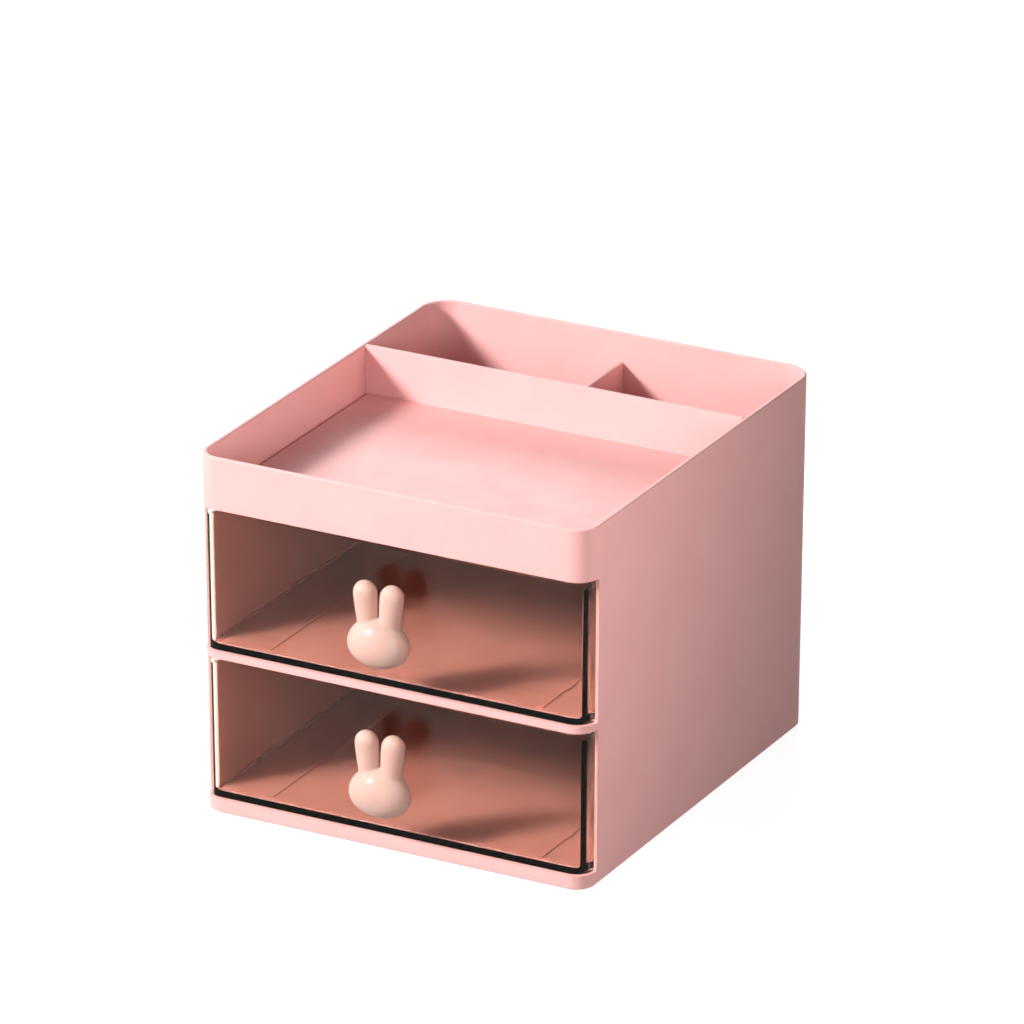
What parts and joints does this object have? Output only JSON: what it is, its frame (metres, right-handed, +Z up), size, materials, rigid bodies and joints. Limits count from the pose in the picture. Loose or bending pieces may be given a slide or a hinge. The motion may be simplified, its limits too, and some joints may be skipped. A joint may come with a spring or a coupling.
{
  "type": "pen holder with drawers",
  "caption": "Desktop pen holder: a moulded plastic case with a deep pen well behind a shallow top tray, over clear drawers that wrap round its front corners.",
  "frame": {"origin": "on the surface that the holder stands on, at the middle of its whole footprint, knobs included", "axes": "+X to the right across the front, +Y from the front to the back, +Z up"},
  "size_m": [0.1726, 0.2128, 0.1513],
  "materials": {
    "pink_plastic": "satin",
    "clear_plastic": "clear, faintly smoky, polished",
    "knob_plastic": "gloss",
    "screw_steel": "bright zinc plated",
    "pad_rubber": "matt"
  },
  "bodies": {
    "case": {"case": "pink_plastic", "top_tray": "pink_plastic", "cross_divider": "pink_plastic", "pad_front_left": "pad_rubber", "pad_front_right": "pad_rubber", "pad_back_left": "pad_rubber", "pad_back_right": "pad_rubber"},
    "upper_drawer": {"upper_drawer": "clear_plastic", "upper_knob": "knob_plastic", "upper_knob_screw": "screw_steel"},
    "lower_drawer": {"lower_drawer": "clear_plastic", "lower_knob": "knob_plastic", "lower_knob_screw": "screw_steel"}
  },
  "joints": [
    {"name": "upper_drawer_slide", "type": "slide", "parent": "case", "child": "upper_drawer", "axis": [0, -1, 0], "range_m": [0, 0.1]},
    {"name": "lower_drawer_slide", "type": "slide", "parent": "case", "child": "lower_drawer", "axis": [0, -1, 0], "range_m": [0, 0.155]}
  ]
}
